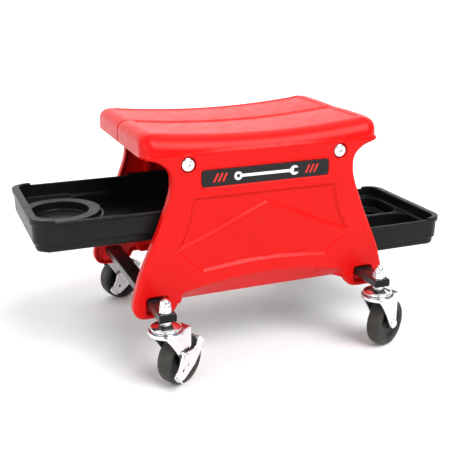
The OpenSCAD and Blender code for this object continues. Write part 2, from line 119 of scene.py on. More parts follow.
def curve(points, steps=5):
    """Smooth curve through open points, by Catmull and Rom's rule."""
    p = np.array([points[0], *points, points[-1]], float)
    t = np.linspace(0, 1, steps, endpoint=False)[:, None]
    spans = []
    for a, b, c, d in zip(p[:-3], p[1:-2], p[2:-1], p[3:]):
        spans.append(
            0.5 * (2 * b + (c - a) * t + (2 * a - 5 * b + 4 * c - d) * t**2
                   + (3 * b - a - 3 * c + d) * t**3)
        )
    return np.vstack([*spans, p[-1:]])


def mirrored(half):
    """Closed outline from its right half, top to bottom."""
    half = np.array(half, float)
    return np.vstack([half, half[::-1] * [-1, 1]])


# ---------------------------------------------------------------- meshes

# surface()'s settings; lengths are in parts of a grid cell
SNAP_STEPS = 4
SNAP_REACH = 0.1
SNAP_MARGIN = 0.02
NORMAL_REACH = 0.35
UNFOLD_STEPS = 8
FOLD_COSINE = 0.2
SHARP_COSINE = 0.8


def surface(name, field, low, high, cell):
    """Mesh of a field's surface, with one vertex in each grid cell that it crosses.

    Two faces of a wall that lie in one cell share its vertex and tear, so walls are thicker
    than a cell's diagonal.
    """
    low = np.array(low, float) - 1.5 * cell
    count = np.ceil((np.array(high) + 1.5 * cell - low) / cell).astype(int) + 1
    x, y, z = (low[i] + cell * np.arange(count[i]) for i in range(3))
    values = np.broadcast_to(field(x[:, None, None], y[None, :, None], z[None, None, :]), count)
    inside = values < 0
    cells = count - 1
    total = np.zeros((4, cells.prod()))
    rings = []
    for axis in range(3):
        u, v = (axis + 1) % 3, (axis + 2) % 3
        near, far = np.moveaxis(inside, axis, 0)[:-1], np.moveaxis(inside, axis, 0)[1:]
        spots = np.argwhere(near != far)
        order = [1, 2]
        order.insert(axis, 0)
        spots = spots[:, order]
        edge = (spots[:, u] > 0) & (spots[:, u] < cells[u])
        edge &= (spots[:, v] > 0) & (spots[:, v] < cells[v])
        spots = spots[edge]
        step = np.eye(3, dtype=int)[axis]
        f0, f1 = values[tuple(spots.T)], values[tuple((spots + step).T)]
        point = spots.astype(float)
        point[:, axis] += f0 / (f0 - f1)
        ring = []
        for du, dv in ((0, 0), (-1, 0), (-1, -1), (0, -1)):
            beside = spots.copy()
            beside[:, u] += du
            beside[:, v] += dv
            number = np.ravel_multi_index(beside.T, cells)
            for k in range(3):
                total[k] += np.bincount(number, point[:, k], total.shape[1])
            total[3] += np.bincount(number, minlength=total.shape[1])
            ring.append(number)
        ring = np.stack(ring, axis=1)
        ring[f0 > 0] = ring[f0 > 0][:, ::-1]
        rings.append(ring)
    rings = np.vstack(rings)
    used, faces = np.unique(rings, return_inverse=True)
    faces = faces.reshape(-1, 4)
    points = (total[:3, used] / total[3, used]).T * cell + low
    corner = np.stack(np.unravel_index(used, cells), axis=1) * cell + low
    margin = SNAP_MARGIN * cell
    for _ in range(SNAP_STEPS):
        value, slope = slope_at(field, points, SNAP_REACH * cell)
        length = np.maximum(np.linalg.norm(slope, axis=1), 0.2)
        points -= slope * (value / length**2)[:, None]
        points = np.clip(points, corner + margin, corner + (1 - SNAP_MARGIN) * cell)
    normals = unit(slope_at(field, points, NORMAL_REACH * cell)[1])
    for _ in range(UNFOLD_STEPS):
        rough = np.unique(faces[folded(points, faces, normals)])
        points[rough] = gather(points[faces].mean(axis=1), faces, len(points))[rough]
    average = unit(gather(facings(points, faces), faces, len(points)))
    normals = np.where(((average * normals).sum(axis=1) < SHARP_COSINE)[:, None], average, normals)
    mesh = bpy.data.meshes.new(name)
    mesh.from_pydata(points * MM, [], faces)
    mesh.polygons.foreach_set("use_smooth", np.ones(len(mesh.polygons), bool))
    mesh.normals_split_custom_set_from_vertices(normals)
    return mesh


def unit(vectors):
    return vectors / np.maximum(np.linalg.norm(vectors, axis=1), 1e-6)[:, None]


def facings(points, faces):
    """Normal of each four-sided face, as long as twice its area."""
    a, b, c, d = (points[faces[:, k]] for k in range(4))
    return np.cross(c - a, d - b)


def gather(values, faces, count):
    """Mean at each vertex of the values of the faces around it."""
    mean = np.zeros((count, 3))
    for k in range(3):
        for column in faces.T:
            mean[:, k] += np.bincount(column, values[:, k], count)
    return mean / np.bincount(faces.ravel(), minlength=count)[:, None]


def folded(points, faces, normals):
    """Which faces have a corner that turns over."""
    p = points[faces]
    facing = unit(normals[faces].mean(axis=1))
    worst = np.ones(len(faces))
    for k in range(4):
        turn = unit(np.cross(p[:, (k + 1) % 4] - p[:, k], p[:, k - 1] - p[:, k]))
        worst = np.minimum(worst, (turn * facing).sum(axis=1))
    return worst < FOLD_COSINE


def slope_at(field, points, reach):
    """The field's value at each point, and its slope over a span of twice reach."""
    value = field(*points.T)
    slope = np.empty_like(points)
    for k in range(3):
        ahead, behind = points.copy(), points.copy()
        ahead[:, k] += reach
        behind[:, k] -= reach
        slope[:, k] = (field(*ahead.T) - field(*behind.T)) / (2 * reach)
    return value, slope


def lathe(name, profile, segments=96):
    """Mesh of a profile, [radius, height] in millimetres, turned about Z."""
    turn = np.arange(segments) * FULL_TURN / segments
    radius, height = np.array(profile, float).T
    points = np.stack([
        np.outer(radius, np.cos(turn)), np.outer(radius, np.sin(turn)),
        np.repeat(height[:, None], segments, axis=1)], axis=-1).reshape(-1, 3)
    here = np.arange(segments)
    after = np.roll(here, -1)
    faces = [
        np.stack([i * segments + here, i * segments + after,
                  (i + 1) * segments + after, (i + 1) * segments + here], axis=1)
        for i in range(len(radius) - 1)
    ]
    mesh = bpy.data.meshes.new(name)
    mesh.from_pydata(points * MM, [], np.vstack(faces))
    mesh.validate()
    mesh.polygons.foreach_set("use_smooth", np.ones(len(mesh.polygons), bool))
    mesh.set_sharp_from_angle(angle=math.radians(35))
    return mesh


def rounded_profile(corners, steps=4):
    """Profile whose corners, [radius, height, rounding], are arcs."""
    path = []
    for i, (x, y, r) in enumerate(corners):
        p = np.array([x, y], float)
        if r == 0 or i in (0, len(corners) - 1):
            path.append(p)
            continue
        to_last = np.array(corners[i - 1][:2], float) - p
        to_next = np.array(corners[i + 1][:2], float) - p
        a = p + to_last / np.linalg.norm(to_last) * r
        b = p + to_next / np.linalg.norm(to_next) * r
        for t in np.linspace(0, 1, steps + 1):
            path.append((1 - t) ** 2 * a + 2 * t * (1 - t) * p + t * t * b)
    return path


def place(name, mesh, body, finish, replaced, matrix=None):
    """Puts a mesh in the scene as a piece that rides on a body and replaces CAD nodes."""
    piece = bpy.data.objects.new(name, mesh)
    bpy.context.scene.collection.objects.link(piece)
    if not mesh.materials:
        mesh.materials.append(finish)
    if matrix is not None:
        piece.matrix_world = matrix
    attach(piece, body)
    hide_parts(*replaced)


def copies(name, mesh, matrices):
    """One mesh that holds a copy of mesh at each matrix."""
    parts = []
    for m in matrices:
        part = bpy.data.objects.new(name, mesh.copy())
        bpy.context.scene.collection.objects.link(part)
        part.matrix_world = m
        parts.append(part)
    with bpy.context.temp_override(
        active_object=parts[0], object=parts[0],
        selected_objects=parts, selected_editable_objects=parts,
    ):
        bpy.ops.object.join()
    joined = parts[0].data
    joined.transform(parts[0].matrix_world)
    joined.name = name
    bpy.data.objects.remove(parts[0])
    return joined


# ---------------------------------------------------------------- materials


class Look:
    """A Principled material whose detail comes from noise in the piece's own coordinates."""

    def __init__(self, name, roughness, metallic=0.0):
        self.material = bpy.data.materials.new(name)
        self.material.use_nodes = True
        self.tree = self.material.node_tree
        self.shader = self.tree.nodes["Principled BSDF"]
        self.shader.inputs["Metallic"].default_value = metallic
        self.shader.inputs["Roughness"].default_value = roughness
        self.place = self.tree.nodes.new("ShaderNodeTexCoord").outputs["Object"]

    def noise(self, scale, detail=3.0, stretch=None):
        """Noise with about scale bumps to the metre."""
        node = self.tree.nodes.new("ShaderNodeTexNoise")
        node.inputs["Scale"].default_value = scale
        node.inputs["Detail"].default_value = detail
        where = self.place
        if stretch:
            mapping = self.tree.nodes.new("ShaderNodeMapping")
            mapping.inputs["Scale"].default_value = stretch
            self.tree.links.new(where, mapping.inputs["Vector"])
            where = mapping.outputs["Vector"]
        self.tree.links.new(where, node.inputs["Vector"])
        return node.outputs["Fac"]

    def span(self, fac, low, high, to_low, to_high):
        """fac from low..high turned into to_low..to_high."""
        node = self.tree.nodes.new("ShaderNodeMapRange")
        for key, number in (("From Min", low), ("From Max", high),
                            ("To Min", to_low), ("To Max", to_high)):
            node.inputs[key].default_value = number
        self.tree.links.new(fac, node.inputs["Value"])
        return node.outputs["Result"]

    def colours(self, fac, first, second):
        """Base colour that runs from first to second."""
        node = self.tree.nodes.new("ShaderNodeMix")
        node.data_type = "RGBA"
        node.inputs["A"].default_value = (*first, 1)
        node.inputs["B"].default_value = (*second, 1)
        self.tree.links.new(fac, node.inputs["Factor"])
        self.tree.links.new(node.outputs["Result"], self.shader.inputs["Base Color"])

    def roughness(self, fac, low, high):
        self.tree.links.new(self.span(fac, 0.3, 0.7, low, high), self.shader.inputs["Roughness"])

    def bump(self, fac, height):
        node = self.tree.nodes.new("ShaderNodeBump")
        node.inputs["Distance"].default_value = height
        node.inputs["Strength"].default_value = 1.0
        last = self.shader.inputs["Normal"].links
        if last:
            self.tree.links.new(last[0].from_socket, node.inputs["Normal"])
        self.tree.links.new(fac, node.inputs["Height"])
        self.tree.links.new(node.outputs["Normal"], self.shader.inputs["Normal"])


def red_plastic():
    look = Look("red_plastic", 0.3)
    cloud = look.noise(9, 2)
    look.colours(look.span(cloud, 0.35, 0.65, 0, 1), (0.64, 0.005, 0.004), (0.61, 0.004, 0.003))
    look.roughness(look.noise(60, 5), 0.27, 0.36)
    look.bump(look.noise(900, 2), 0.00003)
    look.shader.inputs["Specular IOR Level"].default_value = 0.16
    return look.material


def black_plastic(name, base, low, high, grain):
    look = Look(name, low)
    look.shader.inputs["Specular IOR Level"].default_value = 0.17
    shade = look.noise(25, 3)
    light = tuple(c * 1.5 for c in base)
    look.colours(look.span(shade, 0.35, 0.65, 0, 1), base, light)
    look.roughness(look.noise(80, 4), low, high)
    look.bump(look.noise(grain, 2), 0.00004)
    return look.material


def bright_metal(name, colour, low, high):
    look = Look(name, low, metallic=1.0)
    cloud = look.noise(70, 4)
    dark = tuple(c * 0.9 for c in colour)
    look.colours(look.span(cloud, 0.35, 0.65, 0, 1), colour, dark)
    look.roughness(look.noise(240, 4, (1, 1, 5)), low, high)
    look.bump(look.noise(500, 3), 0.00002)
    return look.material


def black_enamel():
    look = Look("black_enamel", 0.3)
    look.colours(look.span(look.noise(40, 4), 0.35, 0.65, 0, 1), (0.012, 0.012, 0.013),
                 (0.022, 0.021, 0.021))
    look.roughness(look.noise(120, 4), 0.26, 0.42)
    look.bump(look.noise(420, 3), 0.00005)
    look.shader.inputs["Coat Weight"].default_value = 0.4
    look.shader.inputs["Coat Roughness"].default_value = 0.2
    return look.material


def rubber():
    look = Look("tyre_rubber", 0.6)
    look.shader.inputs["Specular IOR Level"].default_value = 0.3
    look.colours(look.span(look.noise(45, 5), 0.3, 0.7, 0, 1), (0.024, 0.023, 0.020),
                 (0.040, 0.038, 0.033))
    look.roughness(look.noise(150, 4), 0.42, 0.6)
    look.bump(look.noise(700, 3), 0.00006)
    return look.material


def print_ink(name, base, low):
    look = Look(name, low)
    look.shader.inputs["Specular IOR Level"].default_value = 0.2
    shade = tuple(c * 0.9 for c in base)
    look.colours(look.noise(180, 3), base, shade)
    look.roughness(look.noise(300, 3), low, low + 0.08)
    look.bump(look.noise(1200, 2), 0.00001)
    return look.material


RED = red_plastic()
TRAY = black_plastic("tray_plastic", (0.005, 0.005, 0.0055), 0.30, 0.40, 1100)
RAIL = black_plastic("rail_plastic", (0.006, 0.006, 0.006), 0.42, 0.55, 900)
HUB = black_plastic("hub_plastic", (0.008, 0.008, 0.008), 0.30, 0.42, 900)
ENAMEL = black_enamel()
ZINC = bright_metal("zinc_plate", (0.86, 0.87, 0.89), 0.10, 0.24)
STEEL = bright_metal("steel", (0.72, 0.73, 0.75), 0.22, 0.36)
TYRE = rubber()
PLATE = print_ink("plate_gloss", (0.012, 0.012, 0.013), 0.22)
INK = print_ink("plate_white", (0.85, 0.85, 0.85), 0.35)
ACCENT = print_ink("plate_red", (0.75, 0.03, 0.02), 0.35)

# ---------------------------------------------------------------- shells

SEAT_HALF_LEN = 190.0
FACE_Y = 133.0
SEAM = 0.4
WALL = 3.5
# from the face to the hidden side: thicker than the CAD, so that the sunk relief keeps a wall
PANEL_T = 8.5
SKIRT_T = 5.5
RECESS_DEPTH = 5.4
RAIL_X = 110.0
RIM_Y = 117.0
SEAT_LOW_Z = 332.0
SEAT_MID_Z = 357.0
SADDLE_RISE = 11.0
SKIRT_Z = 110.0
SKIRT_DEPTH = 21.0
BOLT = (122.4, 321.3)
SLEEVE_R = 14.5
COUNTERBORE_R = 11.5
BOLT_HOLE_R = 4.3
SOCKET_Y = 126.0
BAR_X = 175.7
PLATE_Z = 298.6

PANEL = mirrored(
    curve([(188, 338), (184, 333), (176, 330), (166, 326), (157, 320), (151, 313), (148, 304),
           (148, 290), (150.5, 277), (155, 263), (160, 250), (168, 229), (176, 211), (184, 193),
           (192, 175), (198.5, 159), (204, 141), (208, 126), (210, 115), (209, 105),
           (204.5, 97.5), (197, 93.5), (188, 92.5), (177, 92.3), (166, 92.6), (155, 94.5),
           (147, 100), (141, 110)]))
RECESS = mirrored([(116.5, 272), (118, 262), (121, 246), (128, 223), (138, 202), (147, 192),
                   (131, 181), (115, 167), (103, 154.5), (80, 156.5), (55, 158.5), (28, 160.5),
                   (0, 161)])
CROWN = np.vstack([curve([(-147, 192), (-128, 199), (-84, 216), (-42, 235), (0, 253)], 4),
                   curve([(0, 253), (46, 235), (90, 214), (126, 199), (147, 192)], 4),
                   [(147, 100), (-147, 100)]])


def skirt_depth(x, z):
    """How far the skirt between the feet leans in from the front face."""
    arch = 143 - 16 * (x / 133) ** 2
    lean = np.clip((arch - z) / (arch - SKIRT_Z), 0, 1)
    return SKIRT_DEPTH * lean * ramp(140, 127, np.abs(x))


def relief(x, z):
    """How far the front face's pattern sinks: the recess, the crown in it and the plate's seat."""
    edge = -outline(x, z, RECESS)
    above = outline(x, z, CROWN)
    drop = soft_step(above + 3, 10, RECESS_DEPTH)
    sky = np.minimum(3.8 * ramp(0, 5, edge), drop)
    body = np.minimum(4.6 * np.clip(-above / 60, 0, 1), soft_step(edge, 8, RECESS_DEPTH))
    body = np.maximum(body, drop * ramp(0, 8, edge))
    crease = 0.5 * ramp(9, 11, edge) * ramp(16, 12, edge) * ramp(100, 88, np.abs(x))
    body = body - crease * ramp(-16, -24, above)
    pattern = np.where(above > 0, sky, body) * (edge > 0)
    plate = rounded_box(x, z - PLATE_Z, 103.5, 13.1, 5.5)
    seat = 1.3 * ramp(0.7, -0.3, plate) - 0.7 * ramp(4.5, 1.5, plate) * ramp(-1, 0.7, plate)
    return pattern + seat


def bolt_relief(x, z):
    """Raised soft ring round each bolt."""
    r = disc(np.abs(x) - BOLT[0], z - BOLT[1], 0)
    return -0.9 * np.exp(-(((r - 13.6) / 1.7) ** 2))


def seat_top(x, y):
    """Height of the saddle, with its sunk pads and the fall towards the seam."""
    height = SEAT_MID_Z + SADDLE_RISE * (x / 180) ** 2
    height = height - 1.2 * np.exp(-((y / 30) ** 2))
    pad = rounded_box(x, y + 55, 167, 49.5, 7)
    return height - 1.3 * ramp(1.2, -1.6, pad)


def shell(x, y, z):
    """The front shell: seat half, panel, skirt, feet, and the ribs and sleeves behind."""
    flat = outline(x, z, PANEL)
    base = -FACE_Y + skirt_depth(x, z)
    face = base + relief(x, z) + bolt_relief(x, z)
    lip = ramp(140, 128, np.abs(x)) * ramp(150, 130, z)
    panel = meet(flat, face - y, 5.0 - 3.6 * lip)
    panel = meet(panel, y - np.maximum(-RIM_Y, base + SKIRT_T), 1.4)
    end, front = np.abs(x) - SEAT_HALF_LEN, -FACE_Y - y
    side = meet(end, front, 21.0)
    edge_r = 17 + 11 * ramp(-30, 15, front - end)
    top = z - seat_top(x, y)
    seat = meet(meet(side, top, edge_r), SEAT_LOW_Z - z, 2.6)
    seat = meet(seat, y + SEAM, 3.2)
    body = join(panel, seat, 3.0)
    hollow = np.maximum(flat + WALL, base + PANEL_T - y)
    hollow = np.maximum(hollow, z - SEAT_LOW_Z)
    under = meet(side + WALL, top + WALL, edge_r - WALL)
    under = np.maximum(np.maximum(under, y + SEAM + WALL), SEAT_LOW_Z - 6 - z)
    body = cut(body, np.minimum(hollow, under), 1.0)
    return with_fittings(body, x, y, z)


def with_fittings(body, x, y, z):
    """Adds the rail pads, bolt sleeves and bar sockets, then cuts their holes."""
    ax = np.abs(x)
    rib_x = np.minimum(ax, np.abs(ax - RAIL_X)) - 4
    ribs = np.maximum(np.maximum(rib_x, slab(z, 138, 304)), slab(y, -FACE_Y + 4, -112.2))
    bolt = disc(ax - BOLT[0], z - BOLT[1], 0)
    sleeve = np.maximum(bolt - SLEEVE_R, slab(y, -FACE_Y + 4, -RIM_Y))
    socket = rounded_box(ax - BAR_X, z - 114, 19, 16, 3)
    socket = np.maximum(socket, slab(y, -SOCKET_Y, -RIM_Y))
    body = join(body, np.minimum(np.minimum(ribs, sleeve), socket), 1.2)
    body = cut(body, np.maximum(bolt - COUNTERBORE_R, y + FACE_Y - 6), 0.8)
    body = cut(body, bolt - BOLT_HOLE_R, 0.4)
    mouth = rounded_box(ax - BAR_X + 2, z - 113.5, 16.5, 13, 5)
    body = cut(body, np.maximum(mouth, y + SOCKET_Y), 2.4)
    bar = rounded_box(ax - BAR_X, z - 116.5, 13.4, 6.4, 1.5)
    return cut(body, bar, 0.4)


def build_shells():
    mesh = surface("shell", shell, (-210, -135.1, 92), (210, 0, 368), 2.1)
    for side, turn in (("front", 0), ("rear", math.pi)):
        nodes = [f"{side}_shell", f"{side}_seat_half", f"{side}_rail_posts"]
        turned = Matrix.Rotation(turn, 4, "Z")
        place(f"{side}_shell_skin", mesh, "seat_frame", RED, nodes, turned)


# ---------------------------------------------------------------- trays

TRAY_LEN = 340.0
TRAY_HALF = 109.0
TRAY_H = 48.0
UPPER_Z = 203.0
LOWER_Z = 132.0
TRAY_END_X = 343.5
END_WALL = 12.0
FLOOR_H = 6.0
LEDGE_H = 25.0
RING_H = 33.5
RING_R = 62.0
CUP_X = 58.5
CUP_R = 44.0
CUP_FLOOR_H = RING_H - 13.8


def tray_blank(u, v, w):
    """A tray's outside and its open inside down to the ledges; u runs in from its end."""
    mid = u - TRAY_LEN / 2
    step = 3.5 * ramp(15.2, 13.6, w) + 0.02 * (TRAY_H - w)
    wall = rounded_box(mid, v, TRAY_LEN / 2 - 2.5, TRAY_HALF - 2.5, 24) + step
    body = meet(meet(wall, w - TRAY_H, 1.5), -w, 7.0)
    rim_top = TRAY_H + 3.5 * ramp(33, 31.4, u)
    rim = rounded_box(mid, v, TRAY_LEN / 2, TRAY_HALF, 26)
    rim = meet(meet(rim, w - rim_top, 1.6), TRAY_H - 5 - w, 1.2)
    return join(body, rim, 0.8)


def tray_inside(u, v, w):
    """The space inside the rim, above the side ledges."""
    mid = u - (END_WALL + TRAY_LEN - 6) / 2
    half = (TRAY_LEN - 6 - END_WALL) / 2
    room = rounded_box(mid, v, half, TRAY_HALF - 6, 19) - 0.02 * (w - LEDGE_H)
    return meet(room, LEDGE_H - w, 1.5)


def cup_tray(u, v, w):
    body = tray_blank(u, v, w)
    mid = u - (END_WALL + TRAY_LEN - 8) / 2
    floor = rounded_box(mid, v, (TRAY_LEN - 12 - END_WALL) / 2, 95, 16) - 0.04 * (w - FLOOR_H)
    room = join(tray_inside(u, v, w), meet(floor, FLOOR_H - w, 2.0), 1.0)
    to_cup = disc(u - CUP_X, v, 0)
    table = np.maximum(join(u - 92, to_cup - 66, 40), w - 27)
    ring = meet(to_cup - RING_R, w - RING_H, 1.4)
    room = cut(room, join(table, ring, 2.5), 1.5)
    body = cut(body, room, 1.2)
    cup = meet(to_cup - CUP_R - 0.05 * (w - RING_H), CUP_FLOOR_H - w, 3.0)
    body = cut(body, cup, 1.3)
    dish = to_cup - 30
    body = cut(body, np.maximum(dish, np.abs(w - CUP_FLOOR_H) - 0.5), 0.4)
    return underside(body, u, v, w)


def pocket_tray(u, v, w):
    body = tray_blank(u, v, w)
    mid = u - (END_WALL + TRAY_LEN) / 2 + 2
    half = (TRAY_LEN - 16 - END_WALL) / 2
    front = meet(rounded_box(mid, v - 54, half, 41, 28) - 0.08 * (w - 6), 6 - w, 4.0)
    rear = meet(rounded_box(mid, v + 45, half, 48, 28) - 0.08 * (w - 14), 14 - w, 4.0)
    well = meet(disc(u - 72, v + 46, 42) - 0.05 * (w - 6), 6 - w, 3.0)
    long_well = meet(rounded_box(u - 230, v + 45, 75, 42, 22) - 0.05 * (w - 6), 6 - w, 3.0)
    upper = meet(tray_inside(u, v, w), RING_H - w, 1.5)
    room = join(join(upper, front, 1.2), join(rear, np.minimum(well, long_well), 1.5), 1.0)
    return underside(cut(body, room, 1.2), u, v, w)


def underside(body, u, v, w):
    """Raises the underside, so that the tray stands on its outer edge."""
    mid = u - TRAY_LEN / 2
    below = rounded_box(mid, v, TRAY_LEN / 2 - 9.5, TRAY_HALF - 9.5, 16)
    return cut(body, np.maximum(below, w - 3), 0.8)


def build_trays():
    low, high = (0, -TRAY_HALF, 0), (TRAY_LEN, TRAY_HALF, TRAY_H + 4)
    upper = surface("upper_tray", cup_tray, low, high, 1.7)
    lower = surface("lower_tray", pocket_tray, low, high, 1.7)
    at_upper = Matrix.Translation(Vector((-TRAY_END_X, 0, UPPER_Z)) * MM)
    at_lower = Matrix.Translation(Vector((TRAY_END_X, 0, LOWER_Z)) * MM)
    at_lower = at_lower @ Matrix.Rotation(math.pi, 4, "Z")
    place("upper_tray_skin", upper, "upper_tray", TRAY,
          ["upper_tray", "upper_tray_end"], at_upper)
    place("lower_tray_skin", lower, "lower_tray", TRAY, ["lower_tray"], at_lower)


# ---------------------------------------------------------------- frame

BAR_HALF_LEN = 188.0
BAR_Z = 110.5
BAR_H = 12.0
STEM_Y = 176.5
SIGNS = {"front_left": (-1, -1), "front_right": (1, -1), "rear_left": (-1, 1),
         "rear_right": (1, 1)}
SWIVEL = {"front_left": 30.0, "front_right": 26.5, "rear_left": 16.5, "rear_right": 21.0}
TRAIL = 28.0
WHEEL_R = 38.1


def stem_place(corner):
    sx, sy = SIGNS[corner]
    return Matrix.Translation(Vector((sx * BAR_X, sy * STEM_Y, 0)) * MM)


def swivel_place(corner):
    """At the stem, turned so that x runs along the trail."""
    return stem_place(corner) @ Matrix.Rotation(math.radians(SWIVEL[corner]), 4, "Z")


def axle_place(corner):
    """On the axle, with z out along it to the lever's side."""
    turn = Matrix.Rotation(math.pi / 2, 4, "X")
    return swivel_place(corner) @ Matrix.Translation(Vector((TRAIL, 0, WHEEL_R)) * MM) @ turn


def bar(x, y, z):
    """Steel tube with soft corners and a hollow that the end caps close."""
    body = meet(rounded_box(x, z - 6, 13, 6, 1.8), slab(y, -BAR_HALF_LEN, BAR_HALF_LEN), 0.4)
    hollow = rounded_box(x, z - 6, 11.5, 4.5, 0.8)
    body = np.maximum(body, -hollow)
    return np.maximum(body, -(disc(x, np.abs(y) - STEM_Y, 5.2)))


def end_cap(x, y, z):
    return meet(rounded_box(x, z - 6, 13, 6, 2.0), slab(y, 0, 1.5), 0.8)


def build_bars():
    reach = BAR_HALF_LEN
    mesh = surface("bar", bar, (-13, -reach, 0), (13, reach, 12), 1.3)
    for side, sign in (("left", -1), ("right", 1)):
        spot = Matrix.Translation(Vector((sign * BAR_X, 0, BAR_Z)) * MM)
        node = f"cross_bar_{side}"
        place(f"{node}_tube", mesh, "seat_frame", ENAMEL, [node], spot)
    cap = surface("end_cap", end_cap, (-13, 0, 0), (13, 1.5, 12), 0.6)
    spots = []
    for sx, sy in SIGNS.values():
        turn = Matrix.Rotation(0 if sy > 0 else math.pi, 4, "Z")
        spots.append(Matrix.Translation(Vector((sx * BAR_X, sy * reach, BAR_Z)) * MM) @ turn)
    caps = copies("bar_end_caps_moulded", cap, spots)
    place("bar_end_caps_moulded", caps, "seat_frame", RAIL, ["bar_end_caps"])


def acorn_nut(x, y, z):
    """Domed nut: a washer flange, chamfered flats and a round cap."""
    flange = meet(disc(x, y, 10), slab(z, 0, 1.6), 0.6)
    flats = meet(hexagon(x, y, 8.6), slab(z, 1, 11), 0.5)
    chamfer = disc(x, y, 9.6) + np.maximum(z - 8.8, 0) * 0.9
    flats = meet(flats, chamfer, 0.4)
    dome = np.sqrt(x * x + y * y + (z - 12.7) ** 2) - 7.9
    neck = np.maximum(disc(x, y, 7.9), slab(z, 5, 12.7))
    return join(join(flange, flats, 0.5), np.minimum(dome, neck), 0.6)


def stem_nut(x, y, z):
    flats = meet(hexagon(x, y, 8.3), slab(z, 0, 5), 0.4)
    return meet(flats, disc(x, y, 9.2) + np.maximum(np.abs(z - 2.5) - 1.6, 0), 0.3)


def bolt_head(x, y, z):
    """Pan head with a hexagon socket."""
    head = meet(disc(x, y, 10), slab(z, 0, 5), 1.9)
    ridge = meet(disc(x, y, 6.4), slab(z, 4, 5.35), 0.4)
    head = join(head, ridge, 0.5)
    return cut(head, np.maximum(hexagon(x, y, 3.1), 2 - z), 0.4)


def build_fasteners():
    acorn = surface("acorn", acorn_nut, (-10, -10, 0), (10, 10, 20.7), 0.7)
    top = Matrix.Translation(Vector((0, 0, BAR_Z + BAR_H)) * MM)
    spots = []
    for turn, corner in zip((12, 40, 5, 25), SIGNS):
        spots.append(stem_place(corner) @ top @ Matrix.Rotation(math.radians(turn), 4, "Z"))
    acorns = copies("acorn_nuts_chromed", acorn, spots)
    place("acorn_nuts_chromed", acorns, "seat_frame", ZINC, ["acorn_nuts"])
    nut = surface("stem_nut", stem_nut, (-10, -10, 0), (10, 10, 5), 0.7)
    low = Matrix.Translation(Vector((0, 0, BAR_Z - 5)) * MM)
    spots = [stem_place(corner) @ low for corner in SIGNS]
    nuts = copies("stem_nuts_plated", nut, spots)
    place("stem_nuts_plated", nuts, "seat_frame", ZINC, ["stem_nuts"])
    head = surface("bolt_head", bolt_head, (-10, -10, 0), (10, 10, 5.4), 0.6)
    shank = lathe("bolt_shank", [(0, -32), (3.6, -32), (4, -31), (4, 0.2), (0, 0.2)], 32)
    spots = []
    outward = Matrix.Rotation(math.pi / 2, 4, "X")
    for turn in (0, math.pi):
        for sign in (-1, 1):
            spot = Matrix.Translation(Vector((sign * BOLT[0], -FACE_Y + 6, BOLT[1])) * MM)
            spots.append(Matrix.Rotation(turn, 4, "Z") @ spot @ outward)
    heads = copies("seat_bolt_heads", head, spots)
    shanks = copies("seat_bolt_shanks", shank, spots)
    place("seat_bolt_heads", heads, "seat_frame", ZINC, ["seat_bolts"])
    place("seat_bolt_shanks", shanks, "seat_frame", STEEL, ["seat_bolts"])


# ---------------------------------------------------------------- name plates

PLATE_HALF = (103.0, 12.6)
WRENCH_HALF = 52.0


def plate(x, y, z):
    return meet(rounded_box(x, z, *PLATE_HALF, 5), slab(y, 0, 1), 0.3)


def wrench(x, y, z):
    """Plain spanner drawing: an open jaw at one end, a ring at the other."""
    handle = rounded_box(x, z, WRENCH_HALF - 8, 2.3, 0.5)
    ring = np.abs(disc(x + WRENCH_HALF - 6, z, 4.6)) - 2.0
    jaw = disc(x - WRENCH_HALF + 7, z, 7.4)
    slot = rounded_box(x - WRENCH_HALF, z, 8.5, 3.0, 1.5)
    flat = np.minimum(np.minimum(handle, ring), np.maximum(jaw, -slot))
    hole = disc(x + WRENCH_HALF - 6, z, 2.6)
    return np.maximum(np.maximum(flat, -hole), slab(y, 0, 0.5))


def stripes(x, y, z):
    """Three slanted bars on each side of the spanner."""
    lean = np.abs(x) - 0.5 * np.sign(x) * z
    bars = np.abs(lean - 74)
    bars = np.minimum(np.minimum(bars, np.abs(lean - 67)), np.abs(lean - 81)) - 1.7
    return np.maximum(np.maximum(bars, np.abs(z) - 6.5), slab(y, 0, 0.5))


def build_plates():
    base = surface("plate", plate, (-103, 0, -13), (103, 1, 13), 0.9)
    motif = surface("wrench", wrench, (-60, 0, -9), (60, 0.5, 9), 0.55)
    bars = surface("stripes", stripes, (-90, 0, -7), (90, 0.5, 7), 0.55)
    for side, turn in (("front", 0), ("rear", math.pi)):
        turned = Matrix.Rotation(turn, 4, "Z")
        back = turned @ Matrix.Translation(Vector((0, -FACE_Y + 0.2, PLATE_Z)) * MM)
        skin = turned @ Matrix.Translation(Vector((0, -FACE_Y + 0.02, PLATE_Z)) * MM)
        node = f"{side}_plate"
        place(f"{node}_base", base, "seat_frame", PLATE, [node], back)
        place(f"{node}_spanner", motif, "seat_frame", INK, [node], skin)
        place(f"{node}_stripes", bars, "seat_frame", ACCENT, [node], skin)


# ---------------------------------------------------------------- casters

CROWN_Z = 89.4
BALL_Z = 97.4
LEG_GAP = 14.5
LEG_T = 2.5
LEVER_Z = LEG_GAP + LEG_T + 3.1
LEVER_T = 1.8
LEVER_PIVOT = (-8.0, 12.0)
LEG = np.vstack([
    curve([(-21, 92), (-17, 87), (-8, 77), (3, 62), (13, 46), (20.5, 34)], 5),
    [(TRAIL + 8 * math.cos(a), WHEEL_R + 8 * math.sin(a))
     for a in np.linspace(math.radians(205), math.radians(360), 9)],
    [(TRAIL + 8, 92)],
])
LEVER = np.vstack([
    curve([(31.5, 25.5), (27, 16), (21, 6), (12, -4), (1, -13), (-13, -22)], 4),
    curve([(-13, -22), (-20, -23), (-28, -21), (-33, -15), (-33, -9), (-27, -4)], 4),
    curve([(-27, -4), (-23, 4), (-20, 13), (-14, 18), (-4, 19), (5, 19)], 4),
    curve([(5, 19), (11, 20.5), (15, 25), (17, 31), (22, 34)], 4),
])


